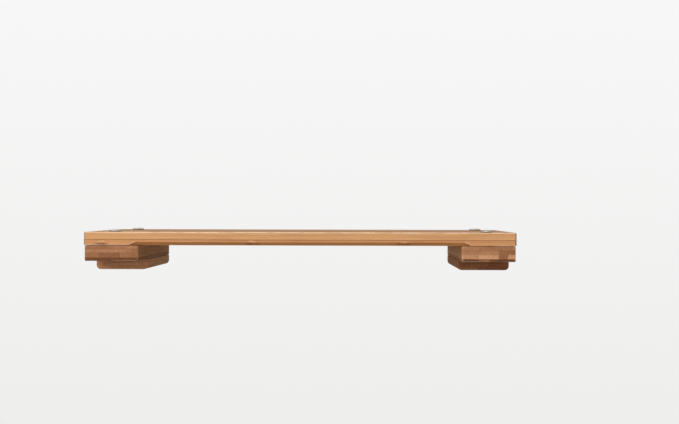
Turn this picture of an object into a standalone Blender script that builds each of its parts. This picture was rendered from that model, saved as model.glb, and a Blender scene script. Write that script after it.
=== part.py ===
"""Wall shelf for a cat: a laminated bamboo board bolted down on two bamboo brackets.

Metres, +Z up. X runs along the wall, the wall is the plane Y = 0, and the room lies towards -Y.
The origin is the middle of the board's back edge. Each bracket hangs on an empty that sits in the
wall plane at the height of the bracket's top, and the pieces of a bracket are placed from there.

How it goes together: each bracket is a block with an arm screwed under it. Two long screws, driven
through slanted pockets in the top of the block, hold the bracket to a wall stud. The board then
covers the pockets, and two bolts run down through it into threaded inserts in each block.
"""

import math

import bmesh
import bpy
from mathutils import Matrix, Vector

# Room kept between pieces that touch, and how far a cutter runs past what it opens
SEAT_GAP = 0.0003
CUT_OVERRUN = 0.002

# Points closer than this are one point, such as those of a turned solid on its axis
WELD_DISTANCE = 0.00001

# Board
BOARD_WIDTH = 0.4635
BOARD_DEPTH = 0.2794
BOARD_THICKNESS = 0.0143
BOARD_CORNER_RADIUS = 0.0022
BOARD_ARRIS_RADIUS = 0.0011

# Stopped chamfer under the board's front edge, as a router bit with a guide bearing leaves it
CHAMFER_HEIGHT = 0.0034
CHAMFER_BEARING_RADIUS = 0.0049
CHAMFER_OVER_BLOCK = 0.0030

# Brackets: the upper block reaches the board's front edge, the lower arm stops short of it
BRACKET_INSET = 0.0010
BRACKET_WIDTH = 0.0574
BLOCK_HEIGHT = 0.0167
BLOCK_ARRIS_RADIUS = 0.0010
ARM_LENGTH = 0.2007
ARM_HEIGHT = 0.0112
ARM_CORNER_RADIUS = 0.0048
ARM_ARRIS_RADIUS = 0.0006

# Bolts that hold the board down
BOLT_FROM_FRONT = 0.0280
BOLT_FROM_WALL = 0.0700
BOLT_DIAMETER = 0.0060
BOLT_LENGTH = 0.0250
BOLT_HEAD_DIAMETER = 0.0140
BOLT_HEAD_HEIGHT = 0.0021
BOLT_HEAD_RIM = 0.0007
BOLT_END_CHAMFER = 0.0008
BOLT_SOCKET_WIDTH = 0.0040
BOLT_SOCKET_DEPTH = 0.0024
BOLT_CLEARANCE = 0.0004

# Threaded inserts in the blocks
INSERT_DIAMETER = 0.0090
INSERT_LENGTH = 0.0120
INSERT_LIP = 0.0005

# Countersunk screws that hold an arm under its block
ARM_SCREW_DIAMETER = 0.0040
ARM_SCREW_HEAD_DIAMETER = 0.0080
ARM_SCREW_LENGTH = 0.0240
ARM_SCREW_POINT = 0.0050
ARM_SCREW_SUNK = 0.0004
ARM_SCREW_FROM_SIDE = 0.0127
ARM_SCREW_FROM_FRONT = 0.0350
ARM_SCREW_FROM_WALL = 0.0750

# Long screws into the wall stud, their washers and the slanted pockets they sit in
WALL_SCREW_DIAMETER = 0.0048
WALL_SCREW_LENGTH = 0.0600
WALL_SCREW_POINT = 0.0090
WALL_SCREW_HEAD_DIAMETER = 0.0090
WALL_SCREW_HEAD_HEIGHT = 0.0030
WALL_SCREW_SPACING = 0.0280
WALL_SCREW_BELOW_TOP = 0.0100
WALL_SCREW_TILT = math.radians(15)
WALL_HOLE_CLEARANCE = 0.0007
WASHER_DIAMETER = 0.0100
WASHER_THICKNESS = 0.0010
POCKET_SHOULDER = 0.0150
POCKET_CLEARANCE = 0.0004

# Facets round a full circle, and rows of facets across a rounded edge
HOLE_FACETS = 24
HEAD_FACETS = 32
SCREW_FACETS = 16
EDGE_ROWS = 3
ARM_CORNER_ROWS = 6
DOME_ROWS = 4
SMOOTH_BELOW = math.radians(35)

# Profile shares: the pan head of a wall screw as shares of its radius and height
PAN_HEAD_SHARES = [(0.0, 1.0), (0.62, 1.0), (0.90, 0.80), (1.0, 0.45), (1.0, 0.0)]

# Heights measured from the board's middle, and the brackets' places along the wall
BOARD_TOP = BOARD_THICKNESS / 2
BOARD_BOTTOM = -BOARD_THICKNESS / 2
BRACKET_TOP = BOARD_BOTTOM - SEAT_GAP
BRACKET_X = BOARD_WIDTH / 2 - BRACKET_INSET - BRACKET_WIDTH / 2

# Heights measured from a bracket's top
ARM_TOP = -BLOCK_HEIGHT - SEAT_GAP
ARM_BOTTOM = ARM_TOP - ARM_HEIGHT

# The slanted axis of the wall screws, as distances from the wall plane
WASHER_SEAT = POCKET_SHOULDER + SEAT_GAP
HEAD_SEAT = WASHER_SEAT + WASHER_THICKNESS + SEAT_GAP


def srgb(red, green, blue):
    """Turn a display colour of 0 to 255 into the linear colour that a shader takes."""
    channels = [value / 255 for value in (red, green, blue)]
    linear = [c / 12.92 if c <= 0.04045 else ((c + 0.055) / 1.055) ** 2.4 for c in channels]
    return (*linear, 1.0)


def make_material(name, colour, metallic, roughness):
    material = bpy.data.materials.new(name)
    material.use_nodes = True
    shader = material.node_tree.nodes["Principled BSDF"]
    shader.inputs["Base Color"].default_value = colour
    shader.inputs["Metallic"].default_value = metallic
    shader.inputs["Roughness"].default_value = roughness
    material.diffuse_color = colour
    return material


def start_empty_file():
    for old in list(bpy.data.objects):
        bpy.data.objects.remove(old, do_unlink=True)


def finish_mesh(bm, name):
    bmesh.ops.recalc_face_normals(bm, faces=bm.faces[:])
    mesh = bpy.data.meshes.new(name)
    bm.to_mesh(mesh)
    bm.free()
    mesh.shade_smooth()
    mesh.set_sharp_from_angle(angle=SMOOTH_BELOW)
    return mesh


def place(name, mesh, material=None, parent=None, location=(0, 0, 0), rotation=(0, 0, 0)):
    piece = bpy.data.objects.new(name, mesh)
    piece.parent = parent
    piece.location = location
    piece.rotation_euler = rotation
    if material:
        mesh.materials.clear()
        mesh.materials.append(material)
    bpy.context.scene.collection.objects.link(piece)
    return piece


def cut_away(piece, name, bm):
    """Subtract the solids in bm, which are drawn in the piece's own axes, from the piece."""
    cutter = place(name, finish_mesh(bm, name), parent=piece.parent)
    cutter.location = piece.location
    cutter.rotation_euler = piece.rotation_euler
    cutter.hide_render = True
    cutter.display_type = "WIRE"
    cut = piece.modifiers.new(name, "BOOLEAN")
    cut.operation = "DIFFERENCE"
    cut.solver = "EXACT"
    cut.object = cutter


# Solids drawn in mesh code


def add_box(bm, low, high):
    low, high = Vector(low), Vector(high)
    matrix = Matrix.Translation((low + high) / 2) @ Matrix.Diagonal((*(high - low), 1))
    bmesh.ops.create_cube(bm, size=1, matrix=matrix)


def round_edges(bm, edges, radius, rows=EDGE_ROWS):
    bmesh.ops.bevel(
        bm,
        geom=edges,
        offset=radius,
        offset_type="OFFSET",
        segments=rows,
        profile=0.5,
        affect="EDGES",
        material=-1,
    )


def runs_along(edge, axis):
    direction = (edge.verts[1].co - edge.verts[0].co).normalized()
    return abs(direction[axis]) > 0.5


def add_turned(bm, profile, facets, matrix=None):
    """Turn a profile of (radius, height) points, which starts and ends on the axis, round Z."""
    others = set(bm.verts)
    verts = [bm.verts.new((radius, 0, height)) for radius, height in profile]
    edges = [bm.edges.new(pair) for pair in zip(verts, verts[1:])]
    spin_round(bm, verts + edges, facets)
    spun = [vert for vert in bm.verts if vert not in others]
    bmesh.ops.remove_doubles(bm, verts=spun, dist=WELD_DISTANCE)
    if matrix:
        spun = [vert for vert in bm.verts if vert not in others]
        bmesh.ops.transform(bm, matrix=matrix, verts=spun)


def spin_round(bm, geom, facets):
    bmesh.ops.spin(
        bm,
        geom=geom,
        cent=(0, 0, 0),
        axis=(0, 0, 1),
        angle=math.tau,
        steps=facets,
        use_merge=True,
    )


def add_cylinder(bm, radius, bottom, top, facets, x=0, y=0):
    profile = [(0, bottom), (radius, bottom), (radius, top), (0, top)]
    add_turned(bm, profile, facets, Matrix.Translation((x, y, 0)))


# Board


def chamfer_radius(height):
    """Radius of the chamfer bit at a height above the board's underside."""
    return CHAMFER_BEARING_RADIUS + CHAMFER_HEIGHT - height


def add_stopped_chamfer(bm):
    """The room that the chamfer bit sweeps as it runs along the front edge and lifts off at each end."""
    half_run = BRACKET_X - BRACKET_WIDTH / 2 + CHAMFER_OVER_BLOCK
    bit_y = -BOARD_DEPTH - CHAMFER_BEARING_RADIUS
    rings = []
    for height in (-CUT_OVERRUN, CHAMFER_HEIGHT + CUT_OVERRUN):
        ring = []
        for end_x, first_angle in ((half_run, -math.pi / 2), (-half_run, math.pi / 2)):
            for step in range(HOLE_FACETS + 1):
                angle = first_angle + math.pi * step / HOLE_FACETS
                x = end_x + chamfer_radius(height) * math.cos(angle)
                y = bit_y + chamfer_radius(height) * math.sin(angle)
                ring.append(bm.verts.new((x, y, BOARD_BOTTOM + height)))
        rings.append(ring)
        bm.faces.new(ring)
    edges = [
        bm.edges.get((vert, ring[index - 1]))
        for ring in rings
        for index, vert in enumerate(ring)
    ]
    bmesh.ops.bridge_loops(bm, edges=edges)


def build_board(material):
    bm = bmesh.new()
    half = BOARD_WIDTH / 2
    add_box(bm, (-half, -BOARD_DEPTH, BOARD_BOTTOM), (half, 0, BOARD_TOP))
    round_edges(bm, [edge for edge in bm.edges if runs_along(edge, 2)], BOARD_CORNER_RADIUS)
    rims = [edge for edge in bm.edges if not runs_along(edge, 2)]
    round_edges(bm, rims, BOARD_ARRIS_RADIUS)
    board = place("shelf_board", finish_mesh(bm, "shelf_board"), material)

    bm = bmesh.new()
    add_stopped_chamfer(bm)
    cut_away(board, "front_chamfer_cutter", bm)

    bm = bmesh.new()
    for side in (-1, 1):
        for y in bolt_rows().values():
            add_cylinder(
                bm,
                BOLT_DIAMETER / 2 + BOLT_CLEARANCE,
                BOARD_BOTTOM - CUT_OVERRUN,
                BOARD_TOP + CUT_OVERRUN,
                HOLE_FACETS,
                side * BRACKET_X,
                y,
            )
    cut_away(board, "bolt_hole_cutter", bm)


# Places of the fasteners in a bracket


def bolt_rows():
    return {"front": -BOARD_DEPTH + BOLT_FROM_FRONT, "rear": -BOLT_FROM_WALL}


def arm_screw_places(side):
    """Name and place of each arm screw: inner is the side that faces the other bracket."""
    offset = BRACKET_WIDTH / 2 - ARM_SCREW_FROM_SIDE
    columns = {"inner": -side * offset, "outer": side * offset}
    rows = {"front": -ARM_LENGTH + ARM_SCREW_FROM_FRONT, "rear": -ARM_SCREW_FROM_WALL}
    return [(f"{row}_{column}", x, y) for row, y in rows.items() for column, x in columns.items()]


def wall_screw_places(side):
    return {"inner": -side * WALL_SCREW_SPACING / 2, "outer": side * WALL_SCREW_SPACING / 2}


def along_wall_screw(x, distance):
    """Place on a wall screw's axis, at a distance from where it crosses the wall plane."""
    y = -distance * math.cos(WALL_SCREW_TILT)
    z = -WALL_SCREW_BELOW_TOP + distance * math.sin(WALL_SCREW_TILT)
    return (x, y, z)


def wall_screw_rotation():
    return (math.pi / 2 - WALL_SCREW_TILT, 0, 0)


# Bracket: block and arm


def add_pocket(bm, x):
    """A clearance hole from the wall plane, widened into the slanted pocket that opens on top."""
    hole = WALL_SCREW_DIAMETER / 2 + WALL_HOLE_CLEARANCE
    pocket = WASHER_DIAMETER / 2 + POCKET_CLEARANCE
    out_of_wall = -hole * math.tan(WALL_SCREW_TILT) - CUT_OVERRUN
    climb = WALL_SCREW_BELOW_TOP + pocket * math.cos(WALL_SCREW_TILT)
    out_of_top = climb / math.sin(WALL_SCREW_TILT) + CUT_OVERRUN
    profile = [
        (0, out_of_wall),
        (hole, out_of_wall),
        (hole, POCKET_SHOULDER),
        (pocket, POCKET_SHOULDER),
        (pocket, out_of_top),
        (0, out_of_top),
    ]
    turn = Matrix.Rotation(wall_screw_rotation()[0], 4, "X")
    add_turned(bm, profile, HOLE_FACETS, Matrix.Translation(along_wall_screw(x, 0)) @ turn)


def build_block(side_name, side, hanger, material):
    bm = bmesh.new()
    half = BRACKET_WIDTH / 2
    add_box(bm, (-half, -BOARD_DEPTH, -BLOCK_HEIGHT), (half, 0, 0))
    round_edges(bm, bm.edges[:], BLOCK_ARRIS_RADIUS)
    name = f"{side_name}_bracket_block"
    block = place(name, finish_mesh(bm, name), material, hanger)

    bm = bmesh.new()
    for y in bolt_rows().values():
        radius = INSERT_DIAMETER / 2 + SEAT_GAP
        add_cylinder(bm, radius, -INSERT_LENGTH - SEAT_GAP, CUT_OVERRUN, HOLE_FACETS, 0, y)
    for x in wall_screw_places(side).values():
        add_pocket(bm, x)
    for _, x, y in arm_screw_places(side):
        radius = ARM_SCREW_DIAMETER / 2 + SEAT_GAP
        top = ARM_BOTTOM + ARM_SCREW_SUNK + ARM_SCREW_LENGTH + SEAT_GAP
        add_cylinder(bm, radius, -BLOCK_HEIGHT - CUT_OVERRUN, top, SCREW_FACETS, x, y)
    cut_away(block, f"{side_name}_block_cutter", bm)


def build_arm(side_name, side, hanger, material):
    """A bar whose two long lower edges are well rounded, and whose other edges are just eased."""
    bm = bmesh.new()
    half = BRACKET_WIDTH / 2
    middle = (ARM_BOTTOM + ARM_TOP) / 2
    add_box(bm, (-half, -ARM_LENGTH, ARM_BOTTOM), (half, 0, ARM_TOP))
    lower = [edge for edge in bm.edges if runs_along(edge, 1) and edge.verts[0].co.z < middle]
    round_edges(bm, lower, ARM_CORNER_RADIUS, ARM_CORNER_ROWS)
    bmesh.ops.recalc_face_normals(bm, faces=bm.faces[:])
    crisp = [edge for edge in bm.edges if edge.calc_face_angle() > SMOOTH_BELOW]
    round_edges(bm, crisp, ARM_ARRIS_RADIUS)
    name = f"{side_name}_bracket_arm"
    arm = place(name, finish_mesh(bm, name), material, hanger)

    bm = bmesh.new()
    shank = ARM_SCREW_DIAMETER / 2 + SEAT_GAP
    head = ARM_SCREW_HEAD_DIAMETER / 2 + SEAT_GAP
    profile = [
        (0, -ARM_SCREW_SUNK - CUT_OVERRUN),
        (head, -ARM_SCREW_SUNK - CUT_OVERRUN),
        (head, 0),
        (shank, head - shank),
        (shank, ARM_HEIGHT - ARM_SCREW_SUNK + CUT_OVERRUN),
        (0, ARM_HEIGHT - ARM_SCREW_SUNK + CUT_OVERRUN),
    ]
    for _, x, y in arm_screw_places(side):
        matrix = Matrix.Translation((x, y, ARM_BOTTOM + ARM_SCREW_SUNK))
        add_turned(bm, profile, SCREW_FACETS, matrix)
    cut_away(arm, f"{side_name}_arm_cutter", bm)


# Fasteners, each drawn once and shared by its copies


def bolt_mesh():
    """A low domed head on a straight shank: height 0 is the head's underside."""
    head, shank = BOLT_HEAD_DIAMETER / 2, BOLT_DIAMETER / 2
    rise = BOLT_HEAD_HEIGHT - BOLT_HEAD_RIM
    profile = [(0, BOLT_HEAD_HEIGHT)]
    for row in range(1, DOME_ROWS + 1):
        angle = row / DOME_ROWS * math.pi / 2
        profile.append((head * math.sin(angle), BOLT_HEAD_RIM + rise * math.cos(angle)))
    profile += [
        (head, 0),
        (shank, 0),
        (shank, -BOLT_LENGTH + BOLT_END_CHAMFER),
        (shank - BOLT_END_CHAMFER, -BOLT_LENGTH),
        (0, -BOLT_LENGTH),
    ]
    bm = bmesh.new()
    add_turned(bm, profile, HEAD_FACETS)
    return finish_mesh(bm, "board_bolt")


def hex_socket_solid():
    """Six-sided key socket, cut down into a bolt's head."""
    bm = bmesh.new()
    corner = BOLT_SOCKET_WIDTH / 2 / math.cos(math.pi / 6)
    bottom = BOLT_HEAD_HEIGHT - BOLT_SOCKET_DEPTH
    add_cylinder(bm, corner, bottom, BOLT_HEAD_HEIGHT + CUT_OVERRUN, 6)
    return bm


def insert_mesh():
    """A plain-walled ring with bevelled lips: height 0 is its upper face."""
    outer, bore = INSERT_DIAMETER / 2, BOLT_DIAMETER / 2 + SEAT_GAP
    ring = [
        (bore, -INSERT_LIP),
        (bore + INSERT_LIP, 0),
        (outer - INSERT_LIP, 0),
        (outer, -INSERT_LIP),
        (outer, INSERT_LIP - INSERT_LENGTH),
        (outer - INSERT_LIP, -INSERT_LENGTH),
        (bore + INSERT_LIP, -INSERT_LENGTH),
        (bore, INSERT_LIP - INSERT_LENGTH),
    ]
    return ring_mesh("insert_nut", ring)


def washer_mesh():
    outer, bore = WASHER_DIAMETER / 2, WALL_SCREW_DIAMETER / 2 + SEAT_GAP
    ring = [(bore, 0), (outer, 0), (outer, WASHER_THICKNESS), (bore, WASHER_THICKNESS)]
    return ring_mesh("wall_washer", ring)


def ring_mesh(name, ring):
    """Turn a closed section round Z."""
    bm = bmesh.new()
    verts = [bm.verts.new((radius, 0, height)) for radius, height in ring]
    edges = [bm.edges.new((vert, verts[index - 1])) for index, vert in enumerate(verts)]
    spin_round(bm, verts + edges, HOLE_FACETS)
    return finish_mesh(bm, name)


def arm_screw_mesh():
    """A countersunk screw that points up: height 0 is the flat of its head."""
    head, shank = ARM_SCREW_HEAD_DIAMETER / 2, ARM_SCREW_DIAMETER / 2
    profile = [
        (0, 0),
        (head, 0),
        (shank, head - shank),
        (shank, ARM_SCREW_LENGTH - ARM_SCREW_POINT),
        (0, ARM_SCREW_LENGTH),
    ]
    bm = bmesh.new()
    add_turned(bm, profile, SCREW_FACETS)
    return finish_mesh(bm, "arm_screw")


def wall_screw_mesh():
    """A pan-headed screw that points down: height 0 is the head's underside."""
    head, shank = WALL_SCREW_HEAD_DIAMETER / 2, WALL_SCREW_DIAMETER / 2
    profile = [(head * out, WALL_SCREW_HEAD_HEIGHT * up) for out, up in PAN_HEAD_SHARES]
    profile += [
        (shank, 0),
        (shank, -WALL_SCREW_LENGTH + WALL_SCREW_POINT),
        (0, -WALL_SCREW_LENGTH),
    ]
    bm = bmesh.new()
    add_turned(bm, profile, SCREW_FACETS)
    return finish_mesh(bm, "wall_screw")


# Assembly


def build_bracket(side_name, side, meshes, materials):
    hanger = place(f"{side_name}_bracket", None, location=(side * BRACKET_X, 0, BRACKET_TOP))
    build_block(side_name, side, hanger, materials["block"])
    build_arm(side_name, side, hanger, materials["arm"])

    head_z = BOARD_TOP + SEAT_GAP - BRACKET_TOP
    for row, y in bolt_rows().items():
        insert = f"{side_name}_{row}_insert_nut"
        place(insert, meshes["insert"], materials["brass"], hanger, (0, y, 0))
        name = f"{side_name}_{row}_board_bolt"
        bolt = place(name, meshes["bolt"], materials["nickel"], hanger, (0, y, head_z))
        cut_away(bolt, f"{side_name}_{row}_socket_cutter", hex_socket_solid())

    for spot, x, y in arm_screw_places(side):
        name = f"{side_name}_arm_screw_{spot}"
        foot = (x, y, ARM_BOTTOM + ARM_SCREW_SUNK)
        place(name, meshes["arm_screw"], materials["zinc"], hanger, foot)

    tilt = wall_screw_rotation()
    for spot, x in wall_screw_places(side).items():
        washer_seat, head_seat = along_wall_screw(x, WASHER_SEAT), along_wall_screw(x, HEAD_SEAT)
        name = f"{side_name}_wall_washer_{spot}"
        place(name, meshes["washer"], materials["steel"], hanger, washer_seat, tilt)
        name = f"{side_name}_wall_screw_{spot}"
        place(name, meshes["wall_screw"], materials["zinc"], hanger, head_seat, tilt)


def main():
    start_empty_file()
    materials = {
        "board": make_material("board_bamboo", srgb(203, 156, 110), 0.0, 0.42),
        "block": make_material("block_bamboo", srgb(176, 127, 88), 0.0, 0.45),
        "arm": make_material("arm_bamboo", srgb(160, 112, 76), 0.0, 0.45),
        "nickel": make_material("bolt_nickel", srgb(214, 204, 190), 1.0, 0.22),
        "brass": make_material("insert_brass", srgb(196, 160, 92), 1.0, 0.35),
        "zinc": make_material("screw_zinc", srgb(186, 188, 190), 1.0, 0.38),
        "steel": make_material("washer_steel", srgb(170, 172, 174), 1.0, 0.40),
    }
    meshes = {
        "bolt": bolt_mesh(),
        "insert": insert_mesh(),
        "washer": washer_mesh(),
        "arm_screw": arm_screw_mesh(),
        "wall_screw": wall_screw_mesh(),
    }
    build_board(materials["board"])
    build_bracket("left", -1, meshes, materials)
    build_bracket("right", 1, meshes, materials)


main()
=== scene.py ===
"""Looks of the wall shelf for a cat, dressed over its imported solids.

Metres, +Z up. X runs along the wall, the wall is the plane Y = 0, and the room lies towards -Y.
Every piece takes its place from the box of the solid that it stands for. The timber is drawn again
with finer roundings and eased holes, and gets a laminated bamboo that is worked out in depth, so that
a strip shows its long grain on its sides and its cut fibres on its ends. The fasteners get threads,
drive recesses and turned heads.
"""

import math
import random
from collections import namedtuple
from functools import reduce

import bmesh
import bpy
from mathutils import Matrix, Vector


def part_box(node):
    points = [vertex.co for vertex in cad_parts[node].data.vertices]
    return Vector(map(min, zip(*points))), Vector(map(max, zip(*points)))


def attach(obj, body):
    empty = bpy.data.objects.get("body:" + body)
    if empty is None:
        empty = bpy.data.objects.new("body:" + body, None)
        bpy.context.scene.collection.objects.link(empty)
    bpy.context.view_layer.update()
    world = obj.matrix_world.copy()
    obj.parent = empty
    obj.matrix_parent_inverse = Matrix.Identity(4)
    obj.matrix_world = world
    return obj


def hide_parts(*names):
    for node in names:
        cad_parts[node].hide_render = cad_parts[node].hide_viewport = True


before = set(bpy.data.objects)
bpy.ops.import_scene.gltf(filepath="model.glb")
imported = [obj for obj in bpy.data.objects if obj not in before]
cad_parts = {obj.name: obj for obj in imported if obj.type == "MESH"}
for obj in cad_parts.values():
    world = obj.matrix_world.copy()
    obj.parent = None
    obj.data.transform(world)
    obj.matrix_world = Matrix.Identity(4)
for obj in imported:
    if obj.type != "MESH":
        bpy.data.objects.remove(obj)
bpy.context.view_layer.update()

BODY = "root"
SIDES = ("left", "right")
ROWS = ("front", "rear")
COLUMNS = ("inner", "outer")
X, Y, Z = range(3)

# Edges of the timber
BOARD_CORNER_RADIUS = 0.0022
BOARD_ARRIS_RADIUS = 0.0011
BOARD_LOWER_ARRIS_RADIUS = 0.0007
BLOCK_CORNER_RADIUS = 0.0014
BLOCK_ARRIS_RADIUS = 0.0010
ARM_ARRIS_RADIUS = 0.0006
ARM_CORNER_RADIUS = 0.0048
ARM_CORNER_ROWS = 10
EASED_EDGE = 0.0004

# Stopped chamfer under the board's front edge, as a router bit with a guide bearing leaves it
CHAMFER_HEIGHT = 0.0034
CHAMFER_BEARING_RADIUS = 0.0049
CHAMFER_OVER_BLOCK = 0.0030
CHAMFER_EASING = 0.0007
CHAMFER_EASING_ANGLES = (0, 15, 30, 45)
CHAMFER_RUN_ON = 4

# Holes in the timber
BOLT_HOLE_RADIUS = 0.0034
INSERT_HOLE_RADIUS = 0.0048
INSERT_HOLE_BELOW = 0.0003
PILOT_HOLE_RADIUS = 0.0023
PILOT_HOLE_BEYOND = 0.0003
ARM_HEAD_HOLE_RADIUS = 0.0043
WALL_HOLE_RADIUS = 0.0031
POCKET_RADIUS = 0.0054
POCKET_SHOULDER = 0.0150
CUT_OVERRUN = 0.0020

# Fasteners
BOLT_HEAD_RADIUS = 0.0070
BOLT_HEAD_HEIGHT = 0.0021
BOLT_HEAD_RIM = 0.0007
BOLT_HEAD_UNDERCUT = 0.0005
BOLT_RADIUS = 0.0030
BOLT_PITCH = 0.0010
BOLT_PLAIN_SHANK = 0.0130
BOLT_SOCKET_WIDTH = 0.0040
BOLT_SOCKET_DEPTH = 0.0022
Screw = namedtuple("Screw", "head_radius radius pitch plain_shank point")
ARM_SCREW = Screw(0.0040, 0.0020, 0.0018, 0.0060, 0.0050)
WALL_SCREW = Screw(0.0045, 0.0024, 0.0024, 0.0180, 0.0090)
WALL_SCREW_HEAD_HEIGHT = 0.0030
WALL_SCREW_LENGTH = 0.0600
WALL_SCREW_TILT = math.radians(15)
WALL_SCREW_TURN = Matrix.Rotation(math.pi / 2 - WALL_SCREW_TILT, 4, "X")
WASHER_RADIUS = 0.0050
WASHER_THICKNESS = 0.0010
WASHER_BORE_RADIUS = 0.0027
WASHER_EASING = 0.0002
INSERT_RADIUS = 0.0045
INSERT_BORE_RADIUS = 0.0033
INSERT_LIP = 0.0005
INSERT_RIBS = 20
INSERT_RIB_DEPTH = 0.00025

# Outlines of fasteners as shares of their size: the wall screw's pan head outwards and upwards from
# its seat, its recess and the pit in the recess's floor, the lobes of a recess, the tip of a point,
# and where the insert's ribs stop and start again round its middle
PAN_HEAD_SHARES = ((1.0, 0.42), (0.97, 0.62), (0.90, 0.80), (0.80, 0.92), (0.68, 1.0))
PAN_RECESS_SHARE = 0.52
PAN_FLOOR_SHARE = 0.20
PAN_PIT_SHARES = (0.20, 0.08)
LOBE_DEPTH_SHARE = 0.14
POINT_TIP_SHARE = 0.03
INSERT_RIB_ENDS = (0.44, 0.56)

# Words in the names of the solids, and those that stand for them in the names of the pieces
PIECE_WORDS = {
    "board_bolt": "domed_bolt",
    "insert_nut": "ribbed_insert",
    "screw": "wood_screw",
    "washer": "flat_washer",
}

# Rows of facets across a rounded edge, facets round a full circle, the angle up to which faces are
# shaded as one, and the distance up to which points are merged
EDGE_ROWS = 5
HOLE_FACETS = 48
THREAD_FACETS = 36
RIB_FACETS = 6
DOME_ROWS = 8
SMOOTH_BELOW = math.radians(32)
WELD_DISTANCE = 0.000004

# Thread profiles as shares of the pitch and of the way from the core to the crest
MACHINE_THREAD = ((0.0, 0.0), (0.5, 1.0))
WOOD_THREAD = ((0.0, 0.0), (0.66, 0.0), (0.83, 1.0))
MACHINE_CORE_SHARE = 0.86
WOOD_CORE_SHARE = 0.66
WOOD_SCREW_BLUNT = 0.0001


# Drawing in mesh code


def add_box(bm, low, high):
    low, high = Vector(low), Vector(high)
    matrix = Matrix.Translation((low + high) / 2) @ Matrix.Diagonal((*(high - low), 1))
    bmesh.ops.create_cube(bm, size=1, matrix=matrix)


def round_edges(bm, edges, radius, rows=EDGE_ROWS):
    bmesh.ops.bevel(
        bm,
        geom=edges,
        offset=radius,
        offset_type="OFFSET",
        segments=rows,
        profile=0.5,
        affect="EDGES",
        material=-1,
    )


def runs_along(edge, axis):
    direction = (edge.verts[1].co - edge.verts[0].co).normalized()
    return abs(direction[axis]) > 0.5


def edges_in(items):
    return [item for item in items if isinstance(item, bmesh.types.BMEdge)]


def extrude(bm, edges):
    """Extrude edges, and give the new vertices and the new edges that join them."""
    drawn = bmesh.ops.extrude_edge_only(bm, edges=edges)["geom"]
    verts = [item for item in drawn if isinstance(item, bmesh.types.BMVert)]
    joined = set(verts)
    return verts, [edge for edge in edges_in(drawn) if joined.issuperset(edge.verts)]


def draw_line(bm, points):
    verts = [bm.verts.new(point) for point in points]
    return verts + [bm.edges.new(pair) for pair in zip(verts, verts[1:])]


def spin(bm, line, facets, centre=(0, 0, 0), angle=math.tau, climb=0.0, closed=False):
    """Turn a line round an upright axis, and give the line that it ends as."""
    return bmesh.ops.spin(
        bm,
        geom=line,
        cent=centre,
        axis=(0, 0, 1),
        dvec=(0, 0, climb),
        angle=angle,
        steps=facets,
        use_merge=closed,
    )["geom_last"]


def add_turned(bm, profile, matrix=Matrix(), facets=HOLE_FACETS):
    """Turn a profile of (radius, height) points, which starts and ends on the axis, round Z."""
    others = set(bm.verts)
    spin(bm, draw_line(bm, [(radius, 0, height) for radius, height in profile]), facets, closed=True)
    turned = [vert for vert in bm.verts if vert not in others]
    bmesh.ops.remove_doubles(bm, verts=turned, dist=WELD_DISTANCE)
    turned = [vert for vert in bm.verts if vert not in others]
    bmesh.ops.transform(bm, matrix=matrix, verts=turned)


def open_rims(bm):
    return [edge for edge in bm.edges if edge.is_boundary]


def carry_on(bm, rim, rings):
    """Draw a round rim on through (radius, height) rings. A radius may be a function of the angle."""
    for radius, height in rings:
        verts, rim = extrude(bm, rim)
        for vert in verts:
            angle = math.atan2(vert.co.y, vert.co.x)
            reach = radius(angle) if callable(radius) else radius
            vert.co = (reach * math.cos(angle), reach * math.sin(angle), height)
    return rim


def add_thread(bm, tooth, core, crest, pitch, length, facets, start=0.0):
    """A threaded rod from start up to length: a toothed line is turned once as it climbs a pitch."""
    points = []
    for turn in range(-2, math.ceil(length / pitch) + 2):
        for climb, reach in tooth:
            points.append((core + (crest - core) * reach, 0, (turn + climb) * pitch))
    spin(bm, draw_line(bm, points), facets, climb=pitch / facets)
    bmesh.ops.remove_doubles(bm, verts=bm.verts[:], dist=WELD_DISTANCE)
    for height, keep in ((start, "clear_inner"), (length, "clear_outer")):
        bmesh.ops.bisect_plane(
            bm,
            geom=bm.verts[:] + bm.edges[:] + bm.faces[:],
            dist=WELD_DISTANCE,
            plane_co=(0, 0, height),
            plane_no=(0, 0, 1),
            **{keep: True},
        )


def hexagon(width):
    """Radius of a hexagonal socket at an angle."""
    sixth = math.tau / 6
    return lambda angle: width / 2 / math.cos((angle + sixth / 2) % sixth - sixth / 2)


def six_lobes(radius):
    """Radius of a six-lobed recess at an angle."""
    return lambda angle: radius * (1 - LOBE_DEPTH_SHARE * (1 - math.cos(6 * angle)))


def close_rims(bm):
    bmesh.ops.holes_fill(bm, edges=open_rims(bm), sides=0)


def draw_head(bm, height, rings):
    """Draw the upper rim of a rod on into a shank and a head, and close both ends."""
    rim = [edge for edge in open_rims(bm) if edge.verts[0].co.z > height - WELD_DISTANCE]
    carry_on(bm, rim, rings)
    close_rims(bm)
    return bm


def draw_ring(facets, rings):
    """A ring whose section runs from the bore through (radius, height) rings and back to the bore."""
    bm = bmesh.new()
    bmesh.ops.create_circle(bm, segments=facets, radius=rings[0][0])
    bmesh.ops.translate(bm, verts=bm.verts[:], vec=(0, 0, rings[0][1]))
    first = bm.edges[:]
    last = carry_on(bm, first, rings[1:])
    bmesh.ops.bridge_loops(bm, edges=first + last)
    return bm


# Pieces


def add_object(name, data):
    """Put a mesh, a light or a camera into the scene."""
    added = bpy.data.objects.new(name, data)
    bpy.context.scene.collection.objects.link(added)
    return added


def take_shape(name, bm):
    """Turn a drawing into an object of the scene."""
    mesh = bpy.data.meshes.new(name)
    bm.to_mesh(mesh)
    bm.free()
    return add_object(name, mesh)


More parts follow.
